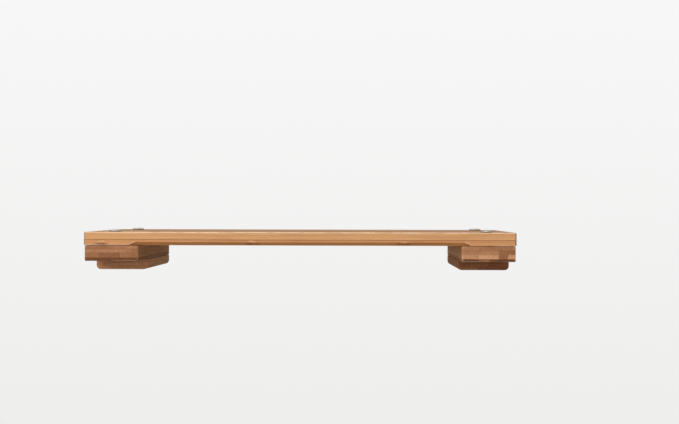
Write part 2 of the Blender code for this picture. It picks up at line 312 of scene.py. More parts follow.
def make_piece(name, bm, node, finish):
    """Give a finished drawing its name and its material, and hide the solid that it stands for."""
    bmesh.ops.recalc_face_normals(bm, faces=bm.faces[:])
    piece = take_shape(name, bm)
    piece.data.shade_smooth()
    piece.data.set_sharp_from_angle(angle=SMOOTH_BELOW)
    piece.data.materials.append(finish)
    piece.modifiers.new("even_shading", "WEIGHTED_NORMAL").keep_sharp = True
    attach(piece, BODY)
    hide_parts(node)


def carve(body, cutter):
    """Cut one drawing's solids out of another's."""
    for bm in (body, cutter):
        bmesh.ops.recalc_face_normals(bm, faces=bm.faces[:])
    rough, room = take_shape("rough", body), take_shape("room", cutter)
    cut = rough.modifiers.new("cut", "BOOLEAN")
    cut.operation = "DIFFERENCE"
    cut.solver = "EXACT"
    cut.object = room
    carved = bmesh.new()
    carved.from_object(rough, bpy.context.evaluated_depsgraph_get())
    for used in (rough, room):
        bpy.data.meshes.remove(used.data)
    return carved


def foot_of(node):
    """Where a standing fastener's lower end meets its axis."""
    low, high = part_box(node)
    return Vector(((low.x + high.x) / 2, (low.y + high.y) / 2, low.z))


def centre_of(node):
    low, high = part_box(node)
    return (low + high) / 2


# Board


def chamfer_profile():
    """The chamfer's section as (inward, up) from the board's lower front edge, eased at both ends."""
    tangent = CHAMFER_EASING * math.tan(math.radians(45) / 2)
    easing = []
    for angle in CHAMFER_EASING_ANGLES:
        turn = math.radians(angle)
        along = CHAMFER_HEIGHT + tangent - CHAMFER_EASING * math.sin(turn)
        off = CHAMFER_EASING * (1 - math.cos(turn))
        easing.append(Vector((along, off)))
    # Both ends run on out of the board by some more steps, which gives a clean cut
    easing[0] += CHAMFER_RUN_ON * (easing[0] - easing[1])
    return easing + [point.yx for point in reversed(easing)]


def chamfer_run():
    """Half the length of the chamfer's straight run, which stops a little way over the blocks."""
    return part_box("right_bracket_block")[0].x + CHAMFER_OVER_BLOCK


def add_stopped_chamfer(bm, low, half_run):
    """The room that the chamfer bit sweeps as it runs along the edge and lifts off at each end."""
    bit_y = low.y - CHAMFER_BEARING_RADIUS
    points = [(half_run, low.y + inward, low.z + up) for inward, up in chamfer_profile()]
    line = draw_line(bm, points)
    right_end = spin(bm, line, HOLE_FACETS, (half_run, bit_y, 0), -math.pi)
    verts, edges = extrude(bm, edges_in(line))
    bmesh.ops.translate(bm, verts=verts, vec=(-2 * half_run, 0, 0))
    left_end = spin(bm, verts + edges, HOLE_FACETS, (-half_run, bit_y, 0), math.pi)
    bmesh.ops.bridge_loops(bm, edges=edges_in(right_end) + edges_in(left_end))
    close_rims(bm)


def add_eased_hole(bm, radius, place, bottom, top):
    """A through hole whose two rims are broken at 45 degrees."""
    flare = radius + EASED_EDGE + CUT_OVERRUN
    profile = [
        (0, bottom - CUT_OVERRUN),
        (flare, bottom - CUT_OVERRUN),
        (radius, bottom + EASED_EDGE),
        (radius, top - EASED_EDGE),
        (flare, top + CUT_OVERRUN),
        (0, top + CUT_OVERRUN),
    ]
    add_turned(bm, profile, Matrix.Translation((place.x, place.y, 0)))


def make_board(finish):
    low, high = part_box("shelf_board")
    bm = bmesh.new()
    add_box(bm, low, high)
    round_edges(bm, [edge for edge in bm.edges if runs_along(edge, Z)], BOARD_CORNER_RADIUS)
    middle = (low.z + high.z) / 2
    for radius, upper in ((BOARD_ARRIS_RADIUS, True), (BOARD_LOWER_ARRIS_RADIUS, False)):
        rims = [edge for edge in bm.edges if all((vert.co.z > middle) == upper for vert in edge.verts)]
        round_edges(bm, rims, radius)

    cutter = bmesh.new()
    add_stopped_chamfer(cutter, low, chamfer_run())
    for side in SIDES:
        for row in ROWS:
            bolt = foot_of(f"{side}_{row}_board_bolt")
            add_eased_hole(cutter, BOLT_HOLE_RADIUS, bolt, low.z, high.z)
    make_piece("bamboo_board", carve(bm, cutter), "shelf_board", finish)


# Brackets


def add_drilled_hole(bm, radius, place, bottom, top, facets=HOLE_FACETS, pointed=False):
    """A straight hole whose upper end is flat, or runs in to the drill's point."""
    shoulder = top - radius if pointed else top
    profile = [(0, bottom), (radius, bottom), (radius, shoulder), (0, top)]
    add_turned(bm, profile, Matrix.Translation((place.x, place.y, 0)), facets)


def add_pocket(bm, start):
    """A clearance hole from the wall plane, widened into the slanted pocket that opens on top."""
    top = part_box("right_bracket_block")[1].z
    climb = top - start.z + POCKET_RADIUS * math.cos(WALL_SCREW_TILT)
    length = climb / math.sin(WALL_SCREW_TILT) + CUT_OVERRUN
    out_of_wall = -WALL_HOLE_RADIUS * math.tan(WALL_SCREW_TILT) - CUT_OVERRUN
    profile = [
        (0, out_of_wall),
        (WALL_HOLE_RADIUS, out_of_wall),
        (WALL_HOLE_RADIUS, POCKET_SHOULDER),
        (POCKET_RADIUS, POCKET_SHOULDER),
        (POCKET_RADIUS, length),
        (0, length),
    ]
    add_turned(bm, profile, Matrix.Translation(start) @ WALL_SCREW_TURN)


def wall_point(node):
    """Where a slanted wall screw's axis crosses the wall plane. Its tip is its lowest, rearmost point."""
    low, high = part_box(node)
    return Vector(((low.x + high.x) / 2, 0, low.z + high.y * math.tan(WALL_SCREW_TILT)))


def away_from_wall(edges):
    """All edges but those that lie in the wall plane, which are left square."""
    return [edge for edge in edges if min(vert.co.y for vert in edge.verts) < -EASED_EDGE]


def make_block(side, finish):
    low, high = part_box(f"{side}_bracket_block")
    bm = bmesh.new()
    add_box(bm, low, high)
    upright = [edge for edge in bm.edges if runs_along(edge, Z)]
    round_edges(bm, away_from_wall(upright), BLOCK_CORNER_RADIUS)
    rims = [edge for edge in away_from_wall(bm.edges) if not runs_along(edge, Z)]
    round_edges(bm, rims, BLOCK_ARRIS_RADIUS)

    cutter = bmesh.new()
    for row in ROWS:
        foot = foot_of(f"{side}_{row}_insert_nut")
        bottom, top = foot.z - INSERT_HOLE_BELOW, high.z + CUT_OVERRUN
        add_drilled_hole(cutter, INSERT_HOLE_RADIUS, foot, bottom, top)
        for column in COLUMNS:
            screw = f"{side}_arm_screw_{row}_{column}"
            bottom, top = low.z - CUT_OVERRUN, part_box(screw)[1].z + PILOT_HOLE_BEYOND
            drill = (PILOT_HOLE_RADIUS, foot_of(screw), bottom, top, THREAD_FACETS)
            add_drilled_hole(cutter, *drill, pointed=True)
    for column in COLUMNS:
        add_pocket(cutter, wall_point(f"{side}_wall_screw_{column}"))
    name = f"{side}_bracket_block"
    make_piece(f"{side}_bamboo_block", carve(bm, cutter), name, finish)


def make_arm(side, finish):
    low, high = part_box(f"{side}_bracket_arm")
    bm = bmesh.new()
    add_box(bm, low, high)
    lengthwise = [edge for edge in bm.edges if runs_along(edge, Y)]
    lower = [edge for edge in lengthwise if edge.verts[0].co.z < low.z + EASED_EDGE]
    round_edges(bm, lower, ARM_CORNER_RADIUS, ARM_CORNER_ROWS)
    crisp = [edge for edge in away_from_wall(bm.edges) if edge.calc_face_angle() > SMOOTH_BELOW]
    round_edges(bm, crisp, ARM_ARRIS_RADIUS)

    cutter = bmesh.new()
    taper = ARM_HEAD_HOLE_RADIUS - PILOT_HOLE_RADIUS
    flare = ARM_HEAD_HOLE_RADIUS + EASED_EDGE
    for row in ROWS:
        for column in COLUMNS:
            foot = foot_of(f"{side}_arm_screw_{row}_{column}")
            profile = [
                (0, low.z - CUT_OVERRUN),
                (flare + CUT_OVERRUN, low.z - CUT_OVERRUN),
                (ARM_HEAD_HOLE_RADIUS, low.z + EASED_EDGE),
                (ARM_HEAD_HOLE_RADIUS, foot.z),
                (PILOT_HOLE_RADIUS, foot.z + taper),
                (PILOT_HOLE_RADIUS, high.z + CUT_OVERRUN),
                (0, high.z + CUT_OVERRUN),
            ]
            add_turned(cutter, profile, Matrix.Translation((foot.x, foot.y, 0)))
    name = f"{side}_bracket_arm"
    make_piece(f"{side}_bamboo_arm", carve(bm, cutter), name, finish)


# Fasteners, each drawn standing on its lower end and then put where its solid is


def head_sink():
    """How far the socket's mouth lies below the top of a bolt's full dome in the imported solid."""
    corner = BOLT_SOCKET_WIDTH / 2 / BOLT_HEAD_RADIUS
    rise = BOLT_HEAD_HEIGHT - BOLT_HEAD_RIM
    return rise * (1 - math.sqrt(1 - corner**2))


def turn_down_end(bm, core):
    """Taper a bolt's first turn of thread in to a little less than its core."""
    for vert in bm.verts:
        if vert.co.z < BOLT_PITCH:
            reach = core - EASED_EDGE * (1 - vert.co.z / BOLT_PITCH)
            share = min(1, reach / vert.co.xy.length)
            vert.co.x *= share
            vert.co.y *= share


def draw_bolt():
    """A domed bolt with a machine thread and a hexagonal socket."""
    low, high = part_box("left_front_board_bolt")
    seat = high.z - low.z - BOLT_HEAD_HEIGHT + head_sink()
    threaded = seat - BOLT_PLAIN_SHANK
    core = BOLT_RADIUS * MACHINE_CORE_SHARE
    rise = BOLT_HEAD_HEIGHT - BOLT_HEAD_RIM
    bm = bmesh.new()
    add_thread(bm, MACHINE_THREAD, core, BOLT_RADIUS, BOLT_PITCH, threaded, HOLE_FACETS)
    turn_down_end(bm, core)
    rings = [
        (BOLT_RADIUS, threaded + BOLT_PITCH / 2),
        (BOLT_RADIUS, seat - EASED_EDGE),
        (BOLT_RADIUS + EASED_EDGE / 2, seat),
    ]
    for row in range(EDGE_ROWS + 1):
        angle = math.pi / 2 * row / EDGE_ROWS
        out = BOLT_HEAD_RADIUS - BOLT_HEAD_UNDERCUT * (1 - math.sin(angle))
        rings.append((out, seat + BOLT_HEAD_UNDERCUT * (1 - math.cos(angle))))
    mouth = BOLT_SOCKET_WIDTH / 2 / math.cos(math.pi / 6) + EASED_EDGE
    last = math.asin(mouth / BOLT_HEAD_RADIUS)
    for row in range(DOME_ROWS + 1):
        angle = math.pi / 2 + (last - math.pi / 2) * row / DOME_ROWS
        height = seat + BOLT_HEAD_RIM + rise * math.cos(angle)
        rings.append((BOLT_HEAD_RADIUS * math.sin(angle), height))
    socket = hexagon(BOLT_SOCKET_WIDTH)
    floor = seat + BOLT_HEAD_HEIGHT - BOLT_SOCKET_DEPTH
    rings += [
        (socket, height - EASED_EDGE),
        (socket, floor),
        (BOLT_SOCKET_WIDTH / 4, floor - EASED_EDGE),
    ]
    return draw_head(bm, threaded, rings)


def draw_wood_screw(screw, neck, head, recess):
    """A wood screw from its point up: thread, plain shank, head and six-lobed recess. head is the
    head's rings, and recess is its radius, its floor and the ring of the pit in the floor."""
    bm = bmesh.new()
    core = screw.radius * WOOD_CORE_SHARE
    threaded = neck - screw.plain_shank
    rod = (core, screw.radius, screw.pitch, threaded, THREAD_FACETS, WOOD_SCREW_BLUNT)
    add_thread(bm, WOOD_THREAD, *rod)
    for vert in bm.verts:
        if vert.co.z < screw.point:
            share = max(vert.co.z / screw.point, POINT_TIP_SHARE)
            vert.co.x *= share
            vert.co.y *= share
    shank = (screw.radius + core) / 2
    top = head[-1][1]
    mouth, floor, pit = recess
    rings = [
        (shank, threaded + screw.pitch),
        (shank, neck - EASED_EDGE),
        (screw.radius, neck),
        *head,
        (six_lobes(mouth + EASED_EDGE / 2), top),
        (six_lobes(mouth), top - EASED_EDGE / 2),
        (six_lobes(mouth), floor),
        pit,
    ]
    return draw_head(bm, threaded, rings)


def draw_arm_screw():
    """A countersunk wood screw."""
    low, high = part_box("left_arm_screw_front_inner")
    top, wide, radius = high.z - low.z, ARM_SCREW.head_radius, ARM_SCREW.radius
    head = [
        (wide - EASED_EDGE / 4, top - EASED_EDGE / 2),
        (wide, top - EASED_EDGE / 3),
        (wide - EASED_EDGE / 4, top),
    ]
    recess = (wide / 2, top - radius, (wide / 5, top - radius - EASED_EDGE))
    return draw_wood_screw(ARM_SCREW, top - (wide - radius), head, recess)


def draw_wall_screw():
    """A long pan-headed wood screw."""
    seat, rise, wide = WALL_SCREW_LENGTH, WALL_SCREW_HEAD_HEIGHT, WALL_SCREW.head_radius
    outline = [(wide * out, seat + rise * up) for out, up in PAN_HEAD_SHARES]
    head = [(wide - EASED_EDGE / 2, seat), (wide, seat + EASED_EDGE / 2), *outline]
    pit_radius, pit_height = PAN_PIT_SHARES
    pit = (wide * pit_radius, seat + rise * pit_height)
    recess = (wide * PAN_RECESS_SHARE, seat + rise * PAN_FLOOR_SHARE, pit)
    return draw_wood_screw(WALL_SCREW, seat, head, recess)


def draw_washer():
    """A flat washer with eased rims, round its own middle."""
    half = WASHER_THICKNESS / 2
    lower = [
        (WASHER_BORE_RADIUS, WASHER_EASING - half),
        (WASHER_BORE_RADIUS + WASHER_EASING, -half),
        (WASHER_RADIUS - WASHER_EASING, -half),
        (WASHER_RADIUS, WASHER_EASING - half),
    ]
    upper = [(radius, -height) for radius, height in reversed(lower)]
    return draw_ring(HOLE_FACETS, lower + upper)


def ribbed(radius):
    """Radius of an insert's ribbed wall at an angle."""
    depth = INSERT_RIB_DEPTH / 2
    return lambda angle: radius - depth + depth * math.cos(INSERT_RIBS * angle)


def draw_insert():
    """A ribbed brass insert, standing on its lower face, with a smooth collar round its middle."""
    low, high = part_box("left_front_insert_nut")
    tall = high.z - low.z
    ribs_stop, ribs_start = (tall * share for share in INSERT_RIB_ENDS)
    wall = ribbed(INSERT_RADIUS)
    collar = INSERT_RADIUS - INSERT_RIB_DEPTH
    rings = [
        (INSERT_BORE_RADIUS, INSERT_LIP),
        (INSERT_BORE_RADIUS + INSERT_LIP, 0),
        (collar - INSERT_LIP / 2, 0),
        (collar, INSERT_LIP / 2),
        (collar, INSERT_LIP * 2),
        (wall, INSERT_LIP * 3),
        (wall, ribs_stop),
        (collar, ribs_stop + INSERT_LIP),
        (collar, ribs_start - INSERT_LIP),
        (wall, ribs_start),
        (wall, tall - INSERT_LIP * 2),
        (collar, tall - INSERT_LIP),
        (collar, tall - INSERT_LIP / 2),
        (collar - INSERT_LIP / 2, tall),
        (INSERT_BORE_RADIUS + INSERT_LIP, tall),
        (INSERT_BORE_RADIUS, tall - INSERT_LIP),
    ]
    return draw_ring(INSERT_RIBS * RIB_FACETS, rings)


def make_fastener(name, draw, matrix, slot, finishes):
    """Draw a fastener and put it where its solid is."""
    bm = draw()
    bmesh.ops.transform(bm, matrix=matrix, verts=bm.verts[:])
    piece = name
    for old, new in PIECE_WORDS.items():
        piece = piece.replace(old, new)
    make_piece(piece, bm, name, finishes[slot])


def make_fasteners(side, finishes):
    upside_down = Matrix.Rotation(math.pi, 4, "X")
    for row in ROWS:
        name = f"{side}_{row}_board_bolt"
        make_fastener(name, draw_bolt, Matrix.Translation(foot_of(name)), "bolt_nickel", finishes)
        name = f"{side}_{row}_insert_nut"
        make_fastener(name, draw_insert, Matrix.Translation(foot_of(name)), "insert_brass", finishes)
        for column in COLUMNS:
            name = f"{side}_arm_screw_{row}_{column}"
            low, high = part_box(name)
            foot = foot_of(name) + Vector((0, 0, high.z - low.z))
            place = Matrix.Translation(foot) @ upside_down
            make_fastener(name, draw_arm_screw, place, "screw_zinc", finishes)
    for column in COLUMNS:
        name = f"{side}_wall_screw_{column}"
        low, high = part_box(name)
        tip = Vector(((low.x + high.x) / 2, high.y, low.z))
        place = Matrix.Translation(tip) @ WALL_SCREW_TURN
        make_fastener(name, draw_wall_screw, place, "screw_zinc", finishes)
        name = f"{side}_wall_washer_{column}"
        place = Matrix.Translation(centre_of(name)) @ WALL_SCREW_TURN
        make_fastener(name, draw_washer, place, "washer_steel", finishes)


# Materials


def srgb(red, green, blue):
    """Turn a display colour of 0 to 255 into the linear colour that a shader takes."""
    channels = [value / 255 for value in (red, green, blue)]
    linear = [c / 12.92 if c <= 0.04045 else ((c + 0.055) / 1.055) ** 2.4 for c in channels]
    return (*linear, 1.0)


def sum_of(operation):
    return lambda value, other: value.maths(operation, value, other)


def turned_sum_of(operation):
    return lambda value, other: value.maths(operation, other, value)


class Value:
    """A number that changes over a surface. Sums on it add Math nodes."""

    __add__, __radd__ = sum_of("ADD"), turned_sum_of("ADD")
    __sub__, __rsub__ = sum_of("SUBTRACT"), turned_sum_of("SUBTRACT")
    __mul__, __rmul__ = sum_of("MULTIPLY"), turned_sum_of("MULTIPLY")
    __truediv__ = sum_of("DIVIDE")
    __gt__ = sum_of("GREATER_THAN")
    lesser, greater = sum_of("MINIMUM"), sum_of("MAXIMUM")

    def __init__(self, finish, socket):
        self.finish = finish
        self.socket = socket

    def maths(self, operation, *numbers):
        inputs = dict(enumerate(numbers))
        return self.finish.value("ShaderNodeMath", {"operation": operation}, inputs)

    def __abs__(self):
        return self.maths("ABSOLUTE", self)

    def fraction(self):
        return self.maths("FRACT", self)

    def rising(self, start, end):
        """0 below start and 1 above end, with a soft step between them."""
        settings = {"interpolation_type": "SMOOTHSTEP"}
        inputs = {"Value": self, "From Min": start, "From Max": end}
        return self.finish.value("ShaderNodeMapRange", settings, inputs)

    def falling(self, start, end):
        return 1 - self.rising(start, end)


def set_stops(ramp, stops):
    while len(ramp.elements) > 1:
        ramp.elements.remove(ramp.elements[-1])
    for index, (position, colour) in enumerate(stops):
        element = ramp.elements[0] if index == 0 else ramp.elements.new(position)
        element.position = position
        element.color = colour


class Nodes:
    """The node tree of a material or of the room's light."""

    def __init__(self, tree):
        self.tree = tree

    def node(self, kind, settings=None, inputs=None):
        """Add a node: its settings are set first, and then its sockets are given values or links."""
        made = self.tree.nodes.new(kind)
        for name, value in (settings or {}).items():
            if name == "stops":
                set_stops(made.color_ramp, value)
            elif name == "interpolation":
                made.color_ramp.interpolation = value
            else:
                setattr(made, name, value)
        for key, value in (inputs or {}).items():
            self.feed(made.inputs[key], value)
        return made

    def value(self, kind, settings, inputs, output=0):
        return Value(self, self.node(kind, settings, inputs).outputs[output])

    def feed(self, socket, value):
        if isinstance(value, Value):
            value = value.socket
        if isinstance(value, bpy.types.NodeSocket):
            self.tree.links.new(value, socket)
        else:
            socket.default_value = value

    def split(self, source, kind, name):
        parts = self.node(kind, None, {name: source}).outputs
        return [Value(self, part) for part in parts]

    def ramp(self, value, stops, interpolation="LINEAR"):
        settings = {"stops": stops, "interpolation": interpolation}
        return self.node("ShaderNodeValToRGB", settings, {0: value}).outputs[0]


class Finish(Nodes):
    """A material that is being made."""

    def __init__(self, name, metallic):
        self.material = bpy.data.materials.new(name)
        self.material.use_nodes = True
        super().__init__(self.material.node_tree)
        self.shader = self.tree.nodes["Principled BSDF"]
        self.fix("Metallic", metallic)

    def fix(self, name, value):
        """Set a number or colour that is the same all over on the shader's own socket."""
        self.shader.inputs[name].default_value = value

    def vary(self, name, value):
        """Feed a socket of the shader with what changes over the surface."""
        self.feed(self.shader.inputs[name], value)

    def place(self):
        """Where a point of the surface is in the object, as three values."""
        point = self.node("ShaderNodeTexCoord").outputs["Object"]
        return self.split(point, "ShaderNodeSeparateXYZ", "Vector")

    def facing(self, axis):
        """How far the surface faces along an axis, either way."""
        normal = self.node("ShaderNodeNewGeometry").outputs["True Normal"]
        return abs(self.split(normal, "ShaderNodeSeparateXYZ", "Vector")[axis])

    def vector(self, x, y, z):
        return self.node("ShaderNodeCombineXYZ", None, {"X": x, "Y": y, "Z": z}).outputs[0]

    def stretched(self, x, y, z, rates):
        """A place in a pattern. With two rates, the second goes for y and z alike."""
        return self.vector(x * rates[0], y * rates[1], z * rates[-1])

    def noise(self, x, y, z, rates, detail, roughness=0.55):
        vector = self.stretched(x, y, z, rates)
        inputs = {"Vector": vector, "Scale": 1.0, "Detail": detail, "Roughness": roughness}
        return self.value("ShaderNodeTexNoise", None, inputs)

    def drifts(self, x, y, z, rates):
        """Three numbers around 0 that change slowly and apart from each other."""
        inputs = {"Vector": self.stretched(x, y, z, rates), "Scale": 1.0, "Detail": 1}
        colour = self.node("ShaderNodeTexNoise", None, inputs).outputs["Color"]
        return [part - 0.5 for part in self.split(colour, "ShaderNodeSeparateColor", "Color")]

    def cells(self, x, y):
        """Distance to the nearest of many scattered lines that run at right angles to x and y."""
        settings = {"voronoi_dimensions": "2D"}
        inputs = {"Vector": self.vector(x, y, 0), "Scale": 1.0, "Randomness": 0.85}
        return self.value("ShaderNodeTexVoronoi", settings, inputs, "Distance")

    def distance(self, first, second):
        settings = {"operation": "DISTANCE"}
        return self.value("ShaderNodeVectorMath", settings, {0: first, 1: second}, "Value")

    def mix(self, share, first, second, blend="MIX"):
        """Lay one colour over another. Colours go in at sockets 6 and 7, and come out at 2."""
        settings = {"data_type": "RGBA", "blend_type": blend}
        inputs = {"Factor": share, 6: first, 7: second}
        return self.node("ShaderNodeMix", settings, inputs).outputs[2]

    def bump(self, height, distance, strength=1.0):
        inputs = {"Height": height, "Distance": distance, "Strength": strength}
        self.vary("Normal", self.node("ShaderNodeBump", None, inputs).outputs[0])


def edge_of(spot, low, high):
    """Distance to the nearest edge of a box: a point by an edge is near two of its faces."""
    x, y, z = [(part - start).lesser(end - part) for part, start, end in zip(spot, low, high)]
    return x.greater(y).lesser(y.greater(z)).lesser(z.greater(x))


# Bamboo

# Colours from dark to pale, along the grain and on cut ends, and where each stands in the range of tones
TONE_STOPS = (0.0, 0.35, 0.7, 1.0)
LONG_GRAIN = (srgb(118, 74, 40), srgb(170, 117, 68), srgb(200, 149, 97), srgb(222, 174, 120))
END_GRAIN = (srgb(84, 52, 31), srgb(124, 82, 55), srgb(168, 122, 89), srgb(206, 158, 121))
WARM_STRIP = srgb(196, 132, 68)
DARK_FIBRE = srgb(132, 82, 42)
BUNDLE = srgb(98, 58, 28)
KNUCKLE_TINT = srgb(168, 104, 56)
KNUCKLE_LINE = srgb(108, 62, 30)
KNUCKLE_PALE = srgb(226, 184, 134)
GLUE_AND_SHADE = srgb(132, 66, 20)
SOAKED_END = srgb(92, 54, 28)
WORN_AND_LIT_EDGE = srgb(248, 228, 204)

# Knuckles, where the cane had its joints. A band, a line or a smear is full up to the first distance
# from its middle and gone at the second, and a line's second one spreads
KNUCKLE_SPACING = 0.200
KNUCKLE_BOW = 0.0022
BAND_FADE = (0.0008, 0.0085)
LINE_FADE = (0.0001, 0.0004)
LINE_SPREAD = 0.0014
PALE_OFF = 0.0026
PALE_FADE = (0.0002, 0.0026)
SMEAR_FADE = (0.0020, 0.01105)
KNUCKLE_BUMP_LENGTH = 0.0055
NO_KNUCKLE = 0.02

# How far up its layer a knuckle's line and bump lie on the edge of a strip, as shares of the layer
KNUCKLE_LINE_DEPTH = 0.24
KNUCKLE_BUMP_DEPTH = 0.68
KNUCKLE_BUMP_HEIGHT = 0.30

# How far fibres wander and how far they swirl at a knuckle, glue lines and the painted shade of joints,
# edges that are worn and given a painted highlight, and relief
FIBRE_WANDER = 0.0022
FIBRE_SWIRL = 0.0030
GLUE_AND_SHADE_HALF_WIDTH = 0.00065
SEAM_HALF_WIDTH = 0.00025
SEAM_STRENGTH = 0.6
WEAR_AND_HIGHLIGHT_FADE = (0.0003, 0.0012)
GRAIN_RELIEF = 0.00009

# How often each pattern comes again in a metre, along the grain and across it. Bundles have a rate
# across and one upwards, and clearness goes by a knuckle's number and its strip's looks
BOW_RATES = (40, 190)
PATCH_RATES = (120, 230)
WANDER_RATES = (10, 40)
SWIRL_RATES = (170, 260)
STREAK_RATES = (7, 420)
FIBRE_RATES = (22, 2300)
BUNDLE_RATES = (980, 1200)
RUB_RATES = (60, 60, 60)
CLEAR_RATES = (7.3, 50)

# Satin oil, how far it is worn off the upper and the lower edges, which are also paled as a painted
# highlight, and how far it has soaked into the cut ends and made them darker
Oil = namedtuple("Oil", "roughness coat specular upper_wear lower_wear soak")
BOARD_OIL = Oil(0.46, 0.05, 0.28, 0.84, 0.44, 0.34)
BLOCK_OIL = Oil(0.60, 0.0, 0.15, 0.12, 0.28, 0.0)
ARM_OIL = Oil(0.60, 0.0, 0.15, 0.16, 0.08, 0.0)
COAT_ROUGHNESS = 0.30


class Bamboo(Finish):
    """Laminated bamboo, oiled to a satin sheen, with its strips along the grain axis.

    layers run from the bottom up, each as (end share, strength of the dark joint on it, strips),
    and the strips of a layer as (end share, tone, warmth, knuckle phase). A dark joint at the end of the
    top layer lies along the piece's top edge, where the board sits on a block, and is painted shade. lip
    gives how near a point is to a cut whose edge is paled as the edges are, partly worn and partly a
    painted highlight.
    """

    def __init__(self, name, box, grain, layers, oil, lip=None):
        super().__init__(name, 0.0)
        low, high = box
        side = 1 - grain
        spot = self.place()
        self.along, self.across, self.up = spot[grain], spot[side], spot[Z]
        width, height = high[side] - low[side], high.z - low.z
        self.across_share = (self.across - low[side]) / width
        self.up_share = (self.up - low.z) / height
        self.cut_end = self.facing(grain).rising(0.25, 0.70)
        self.flat = self.facing(Z).rising(0.60, 0.90)
        self.find_strip(layers, width, height)
        self.draw_knuckles()
        self.draw_fibres()
        self.draw_knuckles_on_edge()
        worn_and_lit = self.wear(spot, box, oil, lip)
        self.set_colour(worn_and_lit, oil)
        self.set_sheen(worn_and_lit, oil)

    def strip_in(self, row, width):
        """Looks of the strip of a layer that a point is in, and how much of a seam between strips."""
        number, gap = 0.5, 1.0
        for end, *_ in row[:-1]:
            number = (self.across_share > end) + number
            gap = abs(self.across_share - end).lesser(gap)
        stops = [(index / len(row), (*looks, 1)) for index, (_, *looks) in enumerate(row)]
        looks = self.ramp(number / len(row), stops, "CONSTANT")
        return looks, (gap * width).falling(0, SEAM_HALF_WIDTH)

    def find_strip(self, layers, width, height):
        """Tone, warmth and knuckle phase of the strip that a point is in, how far up its layer the
        point is, and how much of a dark line: a glue line, or painted shade where the top layer ends at
        the piece's top."""
        floor, glue_and_shade = 0.0, 0.0
        for end, joint, row in layers:
            looks_here, seam_here = self.strip_in(row, width)
            depth_here = (self.up_share - floor) / (end - floor)
            if floor:
                above = self.up_share > floor
                looks = self.mix(above, looks, looks_here)
                seam = seam + above * (seam_here - seam)
                depth = depth + above * (depth_here - depth)
            else:
                looks, seam, depth = looks_here, seam_here, depth_here
            # A joint at the end of the top layer is painted shade along the piece's top edge
            if joint:
                gap = abs(self.up_share - end) * height
                glue_and_shade = (gap.falling(0, GLUE_AND_SHADE_HALF_WIDTH) * joint).greater(glue_and_shade)
            floor = end
        self.tone, self.warmth, self.phase = self.split(looks, "ShaderNodeSeparateColor", "Color")
        self.depth = depth
        self.glue_and_shade = glue_and_shade.greater(seam * SEAM_STRENGTH)

    def draw_knuckles(self):
        """On the flat of a strip a knuckle is a bowed, broken line in a warm band with a pale one
        beside it, and some knuckles are fainter than others."""
        bow = self.noise(self.phase, self.across, self.up, BOW_RATES, 2)
        self.patches = self.noise(self.along, self.across, self.up, PATCH_RATES, 3)
        spacing = (1.2 - 0.4 * self.warmth) * KNUCKLE_SPACING
        turns = (self.along + bow * KNUCKLE_BOW) / spacing + self.phase
        whole_turns = turns - turns.fraction()
        clear = self.noise(whole_turns, self.phase, self.warmth, CLEAR_RATES, 0)
        self.clear = clear.rising(0.25, 0.70)
        self.off = (turns.fraction() - 0.5) * spacing
        self.marked = self.phase > NO_KNUCKLE
        self.band = abs(self.off).falling(*BAND_FADE) * self.marked
        core, edge = LINE_FADE
        line = abs(self.off).falling(core, edge + self.patches * LINE_SPREAD)
        line = line * self.patches.rising(0.22, 0.55)
        self.line = line * self.marked * self.flat * (0.35 + 0.65 * self.clear)
        pale = abs(self.off - PALE_OFF).falling(*PALE_FADE)
        self.pale = pale * self.marked * self.flat * self.patches.rising(0.25, 0.70)

    def draw_fibres(self):
        """Fibres in broad and fine streaks, and dark bundles that wander in and out of the surface
        and end as dots. Both swirl at a knuckle, and bundles are thicker towards the cane's rind."""
        shifted = self.along + self.phase * 0.9 + self.warmth * 0.37
        self.wander = self.drifts(shifted, self.across, self.up, WANDER_RATES)
        self.swirl = self.drifts(self.along, self.across, self.up, SWIRL_RATES)
        bent = self.across + self.wander[X] * FIBRE_WANDER + self.swirl[X] * self.band * FIBRE_SWIRL
        rise = self.up + self.wander[Y] * FIBRE_WANDER + self.swirl[Y] * self.band * FIBRE_SWIRL
        self.streaks = self.noise(shifted, bent, rise, STREAK_RATES, 3, 0.6)
        self.fine = self.noise(shifted, bent, rise, FIBRE_RATES, 3, 0.7)
        thick = 0.12 + 0.14 * self.depth + self.streaks * 0.12
        across_rate, up_rate = BUNDLE_RATES
        self.bundle = self.cells(bent * across_rate, rise * up_rate).falling(thick * 0.55, thick)

    def draw_knuckles_on_edge(self):
        """On the edge of a strip a knuckle is a wavy dark line low down with a pale bump above it."""
        edge_on = (1 - self.flat) * (1 - self.cut_end) * self.marked
        bent_depth = self.depth + self.swirl[Z] * 0.9 * self.band
        smear = abs(bent_depth - KNUCKLE_LINE_DEPTH).falling(0.04, 0.26)
        smear = smear * (self.patches + 0.40).lesser(1)
        self.smear = smear * abs(self.off).falling(*SMEAR_FADE) * edge_on
        aside = self.off / KNUCKLE_BUMP_LENGTH
        above = (bent_depth - KNUCKLE_BUMP_DEPTH) / KNUCKLE_BUMP_HEIGHT
        self.lump = (aside * aside + above * above).falling(0.1, 1.0) * edge_on

    def wear(self, spot, box, oil, lip):
        """Pale edges: partly worn, where the oil is thin and the wood has gone pale, and partly a painted
        highlight where a rounded edge would catch the light.
        """
        worn_and_lit = edge_of(spot, *box).falling(*WEAR_AND_HIGHLIGHT_FADE)
        if lip is not None:
            worn_and_lit = worn_and_lit.greater(lip(self, spot))
        rub = self.noise(*spot, RUB_RATES, 3)
        strength = oil.lower_wear + (oil.upper_wear - oil.lower_wear) * self.up_share.rising(0.3, 0.7)
        return worn_and_lit * rub.rising(0.20, 0.62) * strength

